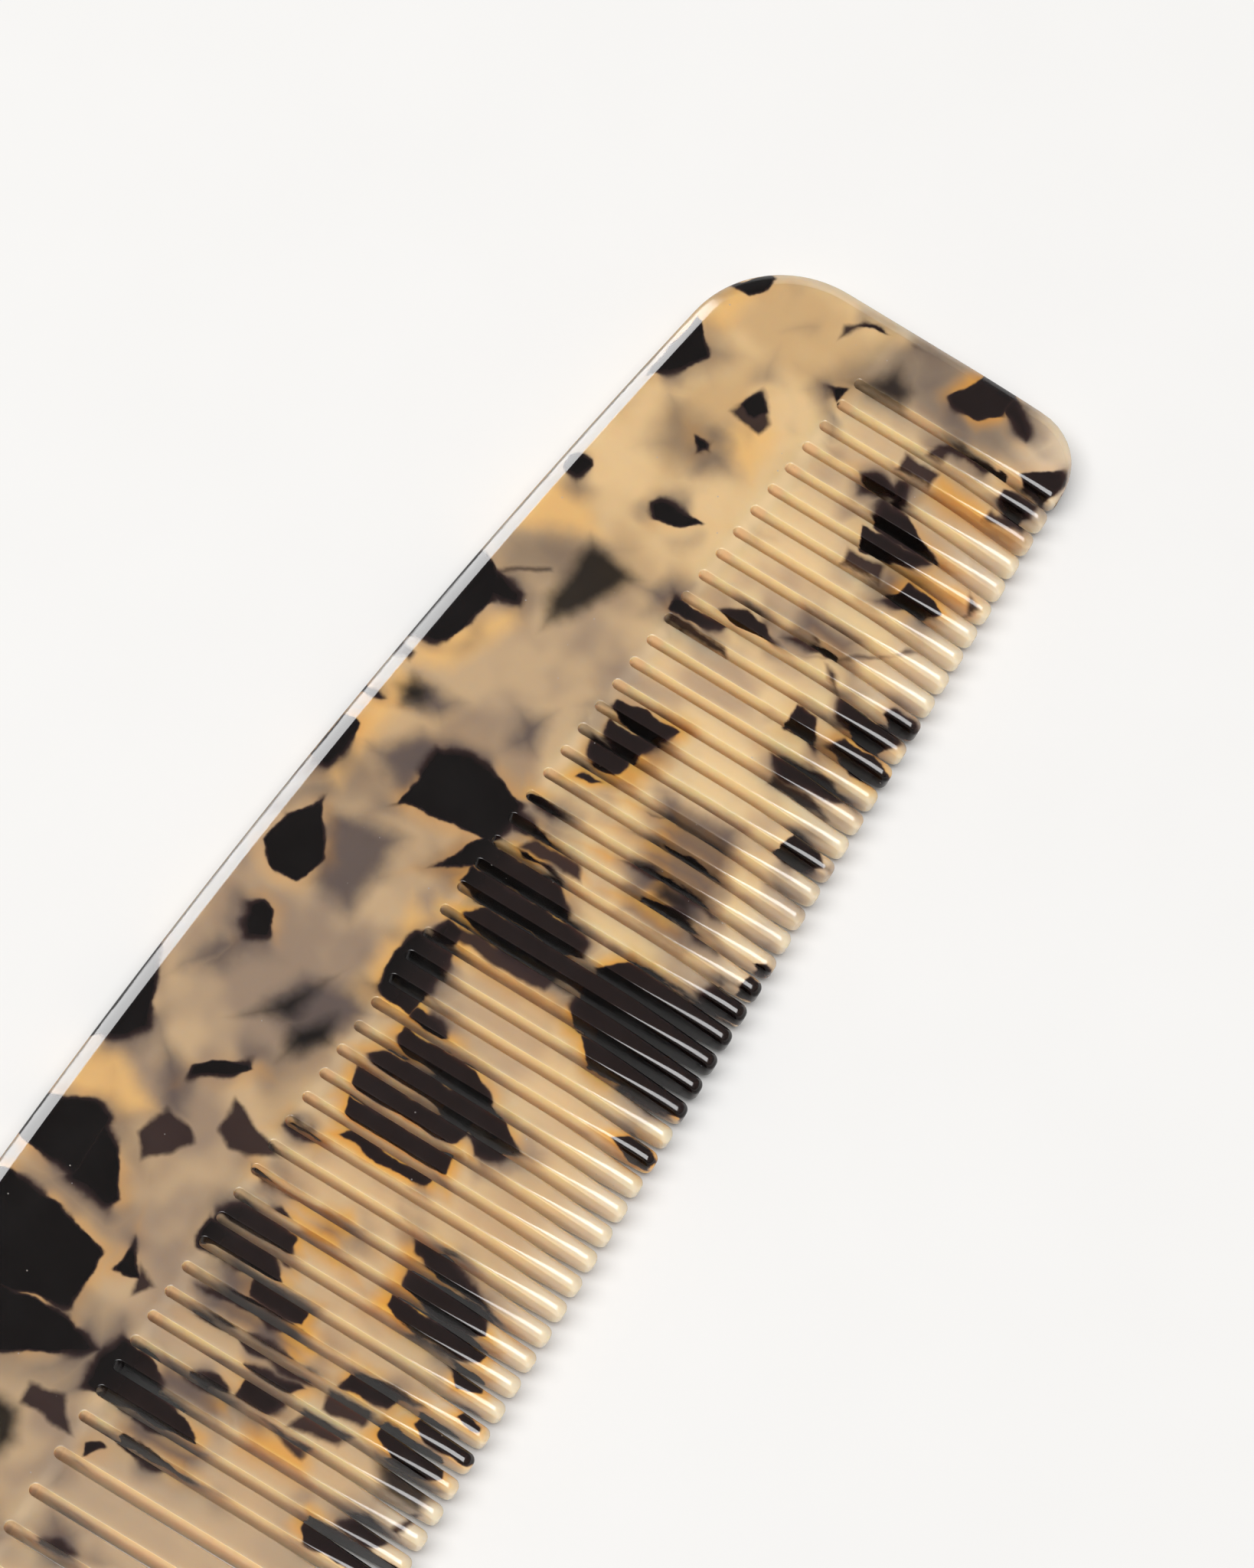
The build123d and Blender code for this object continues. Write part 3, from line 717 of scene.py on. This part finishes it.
# --- shader helpers -------------------------------------------------------------------------------------
class Tree:
    """Adds nodes to one material in short calls."""

    def __init__(self, material):
        self.nodes = material.node_tree.nodes
        self.links = material.node_tree.links

    def add(self, kind, inputs=(), **settings):
        """Adds a node, sets it up, and links or sets its inputs."""
        node = self.nodes.new(kind)
        for key, value in settings.items():
            setattr(node, key, value)
        for socket, value in inputs:
            if isinstance(value, bpy.types.NodeSocket):
                self.links.new(value, node.inputs[socket])
            else:
                node.inputs[socket].default_value = value
        return node

    def maths(self, operation, *values):
        """A number worked out from numbers."""
        node = self.add("ShaderNodeMath", list(enumerate(values)), operation=operation)
        return node.outputs[0]

    def vector(self, operation, *values):
        """A vector worked out from vectors."""
        node = self.add("ShaderNodeVectorMath", list(enumerate(values)), operation=operation)
        return node.outputs[0]

    def ramp(self, value, low, high, to_low=0.0, to_high=1.0):
        """Eases from to_low to to_high while value goes from low to high."""
        inputs = [(0, value), (1, low), (2, high), (3, to_low), (4, to_high)]
        return self.add("ShaderNodeMapRange", inputs, interpolation_type="SMOOTHSTEP").outputs[0]

    def noise(self, place, scale, detail):
        """Smooth noise, as its value and its colour; scale is features per unit of place."""
        inputs = [("Vector", place), ("Scale", scale), ("Detail", detail)]
        return self.add("ShaderNodeTexNoise", inputs).outputs[:2]

    def mix(self, share, first, second):
        """A colour between two."""
        inputs = [(0, share)]
        for socket, value in ((6, first), (7, second)):
            inputs.append((socket, value if isinstance(value, bpy.types.NodeSocket) else (*value, 1)))
        return self.add("ShaderNodeMix", inputs, data_type="RGBA").outputs[2]

    def along_all(self, value):
        """A number three times over, as a vector."""
        return self.add("ShaderNodeCombineXYZ", [(i, value) for i in range(3)]).outputs[0]

    def split(self, vector):
        """A vector's three numbers."""
        return self.add("ShaderNodeSeparateXYZ", [(0, vector)]).outputs

    def product(self, *values):
        """Two or more numbers multiplied."""
        result = values[0]
        for value in values[1:]:
            result = self.maths("MULTIPLY", result, value)
        return result


def side_lines(chip):
    """A chip's sides as (a, b, c): a * x + b * y + c is how far a point is inside that side."""
    pairs = list(zip(chip, chip[1:] + chip[:1]))
    area = sum(x1 * y2 - x2 * y1 for (x1, y1), (x2, y2) in pairs)
    turn = math.copysign(1, area)
    lines = []
    for (x1, y1), (x2, y2) in pairs:
        length = math.hypot(x2 - x1, y2 - y1)
        a, b = -turn * (y2 - y1) / length, turn * (x2 - x1) / length
        lines.append((a, b, -(a * x1 + b * y1)))
    return lines


def depth_in_chip(tree, xxx, yyy, chip):
    """How far inside a chip each place is, in mm: positive inside, negative outside."""
    lines = side_lines(chip)
    while len(lines) % 3:
        lines.append(lines[-1])
    least = None
    for start in range(0, len(lines), 3):
        a, b, c = zip(*lines[start : start + 3])
        across = tree.vector("MULTIPLY_ADD", xxx, a, c)
        inside = tree.vector("MULTIPLY_ADD", yyy, b, across)
        least = inside if least is None else tree.vector("MINIMUM", least, inside)
    first, second, third = tree.split(least)
    least = tree.maths("SMOOTH_MIN", first, second, CHIP_CORNER_ROUND)
    return tree.maths("SMOOTH_MIN", least, third, CHIP_CORNER_ROUND)


def depth_in_any(tree, xxx, yyy, chips):
    """How far inside the nearest of several chips each place is."""
    most = None
    for chip in chips:
        depth = depth_in_chip(tree, xxx, yyy, chip)
        most = depth if most is None else tree.maths("MAXIMUM", most, depth)
    return most


def survey(tree):
    """Where each point of the surface lies on the comb and which way it faces, as named values."""
    scaled = tree.add("ShaderNodeVectorMath", operation="SCALE")
    tree.links.new(tree.add("ShaderNodeTexCoord").outputs["Object"], scaled.inputs[0])
    scaled.inputs["Scale"].default_value = 1 / MM
    spot = SimpleNamespace(place=scaled.outputs[0])
    spot.x, spot.y, z = tree.split(spot.place)
    spot.depth = tree.maths("SUBTRACT", THICKNESS, z)
    upper_x = tree.maths("MULTIPLY_ADD", spot.depth, -CHIP_LEAN, spot.x)
    spot.flat = tree.add("ShaderNodeCombineXYZ", [(0, upper_x), (1, spot.y), (2, z)]).outputs[0]
    from_top_x = tree.maths("SUBTRACT", spot.x, ROOT_TOP_X)
    arc_drop = tree.product(from_top_x, from_top_x, 0.5 / ROOT_RADIUS)
    arc = tree.maths("SUBTRACT", split_y(ROOT_TOP_X), arc_drop)
    spot.below_root = tree.maths("SUBTRACT", arc, spot.y)
    normal = tree.add("ShaderNodeNewGeometry").outputs["Normal"]
    spot.facing_x, spot.facing_y, facing_z = tree.split(normal)
    spot.upright = tree.maths("ABSOLUTE", facing_z)
    on_teeth = tree.ramp(spot.below_root, -0.75, -0.62)
    between_guards = tree.ramp(tree.maths("ABSOLUTE", spot.x), *BETWEEN_GUARDS)
    spot.wall = tree.product(tree.ramp(spot.upright, 0.9, 0.3), on_teeth, between_guards)
    spot.veil = tree.noise(spot.flat, *VEIL_NOISE)[0]
    spot.blur = tree.ramp(tree.noise(spot.flat, *BLUR_NOISE)[0], 0.44, 0.64)
    return spot


def chip_fields(tree, spot, left, right, low, high):
    """For each tone, how far inside its chips each point lies, or None where it has none near."""
    bent = spot.flat
    for scale, size in WANDERS:
        noise = tree.noise(spot.flat, scale, WANDER_DETAIL)[1]
        shift = tree.vector("MULTIPLY_ADD", noise, (size, size, 0), (-size / 2, -size / 2, 0))
        bent = tree.vector("ADD", bent, shift)
    bent_x, bent_y, _ = tree.split(bent)
    xxx, yyy = tree.along_all(bent_x), tree.along_all(bent_y)
    field = {}
    for tone in CHIPS:
        chips = chips_near(tone, left, right, low, high)
        field[tone] = depth_in_any(tree, xxx, yyy, chips) if chips else None
    return field


def sheet_colour(tree, spot):
    """The honey sheet before any chips: deeper over the back and smoky in places, with painted light: a
    painted glow on the slot walls and at the tips, and a painted lightening near the fine end.
    """
    milk = tree.ramp(tree.noise(spot.flat, *CLOUD_NOISE)[0], 0.36, 0.62)
    back = tree.mix(milk, *BACK_TONES)
    fine_end = tree.mix(milk, *FINE_END_TONES)
    back = tree.mix(tree.ramp(spot.x, *FINE_END_SPAN), back, fine_end)
    clear = tree.ramp(spot.x, *CLEAR_TEETH_SPAN, 0.15, 1.0)
    clear = tree.product(milk, clear, tree.ramp(spot.x, *DULL_TEETH_SPAN, 1.0, 0.5))
    tooth = tree.mix(clear, *TOOTH_TONES)
    colour = tree.mix(tree.ramp(spot.below_root, -2.0, 3.0), back, tooth)
    colour = tree.mix(tree.ramp(spot.veil, 0.50, 0.66, 0.0, VEIL_SHARE), colour, HONEY)
    # Painted glow: the slot walls are lightened, standing in for light that passes through the acetate into
    # the slots.
    colour = tree.mix(tree.product(spot.wall, PAINTED_WALL_GLOW_SHARE), colour, PAINTED_WALL_GLOW)
    # Painted glow: the last 6 mm of the teeth are lightened towards the tips, standing in for light passing
    # through them.
    colour = tree.mix(tree.ramp(spot.y, *PAINTED_TIP_GLOW_SPAN, 0.0, PAINTED_TIP_GLOW_SHARE), colour, PAINTED_TIP_GLOW)
    smoke = tree.ramp(tree.noise(spot.flat, *SMOKE_NOISE)[0], 0.52, 0.68, 0.0, SMOKE_SHARE)
    smoke = tree.product(smoke, tree.ramp(spot.below_root, 1.0, -3.0), tree.ramp(spot.x, *SMOKE_SPAN))
    colour = tree.mix(smoke, colour, SMOKE)
    # Painted light: faces turned towards the fine end are lightened near it, standing in for the light they
    # lose by facing away from the lamps.
    end = tree.product(tree.ramp(spot.facing_x, 0.15, 0.45), tree.ramp(spot.x, *PAINTED_END_LIGHT_SPAN), PAINTED_END_LIGHT_SHARE)
    return tree.mix(end, colour, PAINTED_END_LIGHT)


def with_cloudy_chips(tree, spot, field, colour):
    """The amber, misty and grey chips, whose edges fade into the sheet."""
    if field["amber"] is not None:
        rich = tree.mix(tree.ramp(spot.below_root, -1.5, 1.5), HONEY, AMBER)
        colour = tree.mix(tree.ramp(field["amber"], -1.0, 0.9, 0.0, AMBER_SHARE), colour, rich)
    if field["mist"] is not None:
        colour = tree.mix(tree.ramp(field["mist"], -1.8, 1.2, 0.0, MIST_SHARE), colour, SMOKE)
    if field["grey"] is not None:
        colour = tree.mix(tree.ramp(field["grey"], -1.3, 0.8, 0.0, GREY_SHARE), colour, SMOKE)
    return colour


def with_painted_bevel_reflection(tree, spot, colour):
    """A painted reflection on the bevel along the back: a pale grey where it faces the back, standing for the
    light behind the comb mirrored in it.
    """
    bevel = tree.product(
        tree.ramp(spot.facing_y, 0.18, 0.34),
        tree.ramp(spot.below_root, 1.0, -1.0),
        tree.ramp(spot.upright, 0.45, 0.65),
        tree.ramp(spot.x, *PAINTED_BEVEL_REFLECTION_SPAN, 0.0, PAINTED_BEVEL_REFLECTION_SHARE),
    )
    return tree.mix(bevel, colour, PAINTED_BEVEL_REFLECTION)


def with_dark_rims(tree, spot, dark, colour):
    """What surrounds the dark chips: an amber rim where they are crisp, smoke where they are blurred."""
    crisp = tree.maths("SUBTRACT", 1.0, spot.blur)
    rim = tree.product(
        tree.ramp(dark, -1.4, 0.2, 0.0, RIM_SHARE),
        crisp,
        tree.ramp(spot.below_root, -2.0, 1.0, 0.4, 1.0),
        tree.ramp(spot.veil, 0.42, 0.58, 0.25, 1.0),
    )
    colour = tree.mix(rim, colour, AMBER)
    haze = tree.product(tree.ramp(dark, -2.4, 0.3, 0.0, HAZE_SHARE), spot.blur)
    return tree.mix(haze, colour, SMOKE)


def with_dark_chips(tree, spot, field, colour):
    """The brown, shaded and dark chips. Some dark ones thin with depth, which softens their outlines. On the
    teeth's upper faces the shaded and dark chips get a painted sheen.
    """
    dark = field["dark"]
    if dark is not None:
        thinning = tree.ramp(tree.noise(spot.flat, *THIN_NOISE)[0], 0.50, 0.60, 0.0, THIN_RATE)
        sunk = tree.maths("MINIMUM", spot.depth, THIN_DEPTH)
        sunk = tree.product(sunk, tree.ramp(spot.y, *CLEAR_OF_TIPS))
        dark = tree.maths("MULTIPLY_ADD", sunk, thinning, dark)
        colour = with_dark_rims(tree, spot, dark, colour)
    # Painted sheen: on the teeth's upper faces the dark is lifted to a grey, standing in for the gloss those
    # faces catch.
    lit = tree.product(tree.ramp(spot.upright, 0.5, 0.95), tree.ramp(spot.below_root, -1.0, 2.0))
    dark_and_sheen = tree.mix(lit, DARK, PAINTED_DARK_SHEEN)
    if field["brown"] is not None:
        shard = tree.ramp(field["brown"], -0.3, 0.18, 0.0, BROWN_SHARE)
        colour = tree.mix(shard, colour, UMBER)
    if field["shade"] is not None:
        colour = tree.mix(tree.ramp(field["shade"], -1.1, 0.5, 0.0, SHADE_SHARE), colour, dark_and_sheen)
    if dark is not None:
        soft_low = tree.maths("MULTIPLY_ADD", spot.blur, -0.75, -0.15)
        soft_high = tree.maths("MULTIPLY_ADD", spot.blur, 0.25, 0.24)
        shard = tree.ramp(dark, soft_low, soft_high)
        colour = tree.mix(tree.ramp(shard, 0.0, 0.6), colour, UMBER)
        colour = tree.mix(tree.ramp(shard, 0.3, 1.0), colour, dark_and_sheen)
    return colour


def with_dust(tree, spot, colour):
    """A few pale specks of dust."""
    specks = tree.add("ShaderNodeTexVoronoi", [("Vector", spot.place), ("Scale", SPECKS_PER_MM)]).outputs
    picked = tree.ramp(tree.split(specks["Color"])[0], 0.72, 0.74, 0.0, DUST_SHARE)
    return tree.mix(tree.product(tree.ramp(specks["Distance"], *SPECK_EDGE), picked), colour, DUST)


def acetate(name, left, right, low, high):
    """Polished tortoiseshell acetate, with the chips that come near one stretch of the comb."""
    material = bpy.data.materials.new(name)
    material.use_nodes = True
    tree = Tree(material)
    spot = survey(tree)
    field = chip_fields(tree, spot, left, right, low, high)
    colour = sheet_colour(tree, spot)
    colour = with_cloudy_chips(tree, spot, field, colour)
    colour = with_painted_bevel_reflection(tree, spot, colour)
    colour = with_dark_chips(tree, spot, field, colour)
    colour = with_dust(tree, spot, colour)
    smears = tree.noise(spot.place, *SMEAR_NOISE)[0]
    from_seam = tree.maths("ABSOLUTE", spot.below_root)
    ripple = tree.noise(spot.place, *RIPPLE_NOISE)[0]
    bump = [("Strength", RIPPLE_STRENGTH), ("Distance", 0.5 * MM), ("Height", ripple)]
    looks = {
        "Base Color": colour,
        "Roughness": tree.ramp(smears, 0.3, 0.7, *ROUGHNESS_RANGE),
        "Specular IOR Level": tree.ramp(spot.wall, 0.1, 0.9, *SPECULAR_RANGE),
        "Subsurface Weight": tree.ramp(from_seam, 0.1, 0.8, 0.0, SPREAD_WEIGHT),
        "Normal": tree.add("ShaderNodeBump", bump).outputs[0],
    }
    shader = tree.nodes["Principled BSDF"]
    for socket, value in looks.items():
        tree.links.new(value, shader.inputs[socket])
    shader.inputs["IOR"].default_value = ACETATE_IOR
    shader.inputs["Subsurface Radius"].default_value = SPREAD_DEPTHS
    shader.inputs["Subsurface Scale"].default_value = MM
    return material


# --- floor, lights and camera ---------------------------------------------------------------------------
VIEW_CENTRE = Vector((53.5, -3.9, THICKNESS)) * MM
CAMERA_BACK = Vector((-0.33642, -0.03146, 0.94119))
CAMERA_UP = Vector((0.79915, 0.51918, 0.303))
CAMERA_DISTANCE = 462.6 * MM
CAMERA_LENS = 158.2
CAMERA_SENSOR = 36
CAMERA_CLIP = 0.01

# Soft panels by name: direction from the comb, the way up, width and height in metres, radiance, the
# collection that it lights, and the rays that don't see it.
PANEL_DISTANCE = 2.0
PANELS = {
    "overhead": ((-0.12, 0.15, 0.98), (0, 0, 1), 0.95, 2.1, 6.7, "table", None),
    "side_panel": ((-0.42, -0.08, 0.905), (0, 0, 1), 0.75, 0.9, 24.5, "comb_pieces", "visible_glossy"),
    "front_strip": ((-0.45, -0.33, 0.83), (0, 1, 0), 1.8, 0.95, 11.5, "comb_pieces", "visible_diffuse"),
    "back_panel": ((0.33, 0.82, 0.47), (0, 0, 1), 1.3, 2.0, 12.0, "comb_pieces", "visible_diffuse"),
}
ROOM_COLOUR = (1.0, 0.995, 0.985, 1)
ROOM_STRENGTH = 0.22

FLOOR_HALF = 6.0
FLOOR_CUTS = 3
FLOOR_TONES = ((0.86, 0.85, 0.835), (0.88, 0.87, 0.855))
FLOOR_NOISE = (90.0, 3.0)
FLOOR_ROUGHNESS = 0.9
FLOOR_SPECULAR = 0.1


def build_camera():
    """A long lens over the coarse end, looking at the fine half, turned so that the comb runs diagonally."""
    camera = bpy.data.objects.new("camera", bpy.data.cameras.new("camera"))
    camera.data.lens = CAMERA_LENS
    camera.data.sensor_width = CAMERA_SENSOR
    camera.data.clip_start = CAMERA_CLIP
    back = CAMERA_BACK.normalized()
    right = CAMERA_UP.cross(back).normalized()
    up = back.cross(right)
    place = VIEW_CENTRE + back * CAMERA_DISTANCE
    camera.matrix_world = Matrix.Translation(place) @ Matrix((right, up, back)).transposed().to_4x4()
    bpy.context.scene.collection.objects.link(camera)
    bpy.context.scene.camera = camera


def softbox(name, towards, up, width, height, radiance):
    """A soft panel facing the comb. towards is its direction from the comb; sizes are metres."""
    light = bpy.data.lights.new(name, "AREA")
    light.shape = "RECTANGLE"
    light.size, light.size_y = width, height
    light.energy = radiance * math.pi * width * height
    panel = bpy.data.objects.new(name, light)
    direction = Vector(towards).normalized()
    sideways = Vector(up).cross(direction).normalized()
    turn = Matrix((sideways, direction.cross(sideways), direction)).transposed()
    panel.matrix_world = Matrix.Translation(VIEW_CENTRE + direction * PANEL_DISTANCE) @ turn.to_4x4()
    panel.visible_camera = False
    bpy.context.scene.collection.objects.link(panel)
    return panel


def build_lights(pieces, floor):
    """A panel overhead for the table, and three for the comb, of which two only show in its gloss."""
    lit = {}
    for name, things in {"comb_pieces": pieces, "table": [floor]}.items():
        lit[name] = bpy.data.collections.new(name)
        for thing in things:
            lit[name].objects.link(thing)
    for name, (*panel_shape, target, hidden_from) in PANELS.items():
        panel = softbox(name, *panel_shape)
        panel.light_linking.receiver_collection = lit[target]
        if hidden_from:
            setattr(panel, hidden_from, False)
    world = bpy.data.worlds.new("room")
    world.use_nodes = True
    background = world.node_tree.nodes["Background"]
    background.inputs["Color"].default_value = ROOM_COLOUR
    background.inputs["Strength"].default_value = ROOM_STRENGTH
    bpy.context.scene.world = world


def pale_table():
    """The table top's material, with a faint grain."""
    material = bpy.data.materials.new("pale_table")
    material.use_nodes = True
    tree = Tree(material)
    shader = tree.nodes["Principled BSDF"]
    place = tree.add("ShaderNodeTexCoord").outputs["Object"]
    grain = tree.noise(place, *FLOOR_NOISE)[0]
    tree.links.new(tree.mix(grain, *FLOOR_TONES), shader.inputs["Base Color"])
    shader.inputs["Roughness"].default_value = FLOOR_ROUGHNESS
    shader.inputs["Specular IOR Level"].default_value = FLOOR_SPECULAR
    return material


def build_floor():
    """A wide pale table top."""
    bm = bmesh.new()
    signs = ((-1, -1), (1, -1), (1, 1), (-1, 1))
    bm.faces.new([bm.verts.new((x * FLOOR_HALF, y * FLOOR_HALF, 0)) for x, y in signs])
    bmesh.ops.subdivide_edges(bm, edges=bm.edges, cuts=FLOOR_CUTS, use_grid_fill=True)
    mesh = bpy.data.meshes.new("floor")
    bm.to_mesh(mesh)
    bm.free()
    floor = bpy.data.objects.new("floor", mesh)
    bpy.context.scene.collection.objects.link(floor)
    mesh.materials.append(pale_table())
    return floor


build_camera()
floor = build_floor()
pieces = [build_spine()]
pieces += [build_tooth(*tooth) for tooth in TEETH]
pieces.append(build_guard("fine_end_guard_visual", "fine_end_guard", FINE_GUARD_SPAN, True))
pieces.append(build_guard("coarse_end_guard_visual", "coarse_end_guard", COARSE_GUARD_SPAN, False))
build_lights(pieces, floor)
bpy.context.scene.view_settings.view_transform = "Standard"
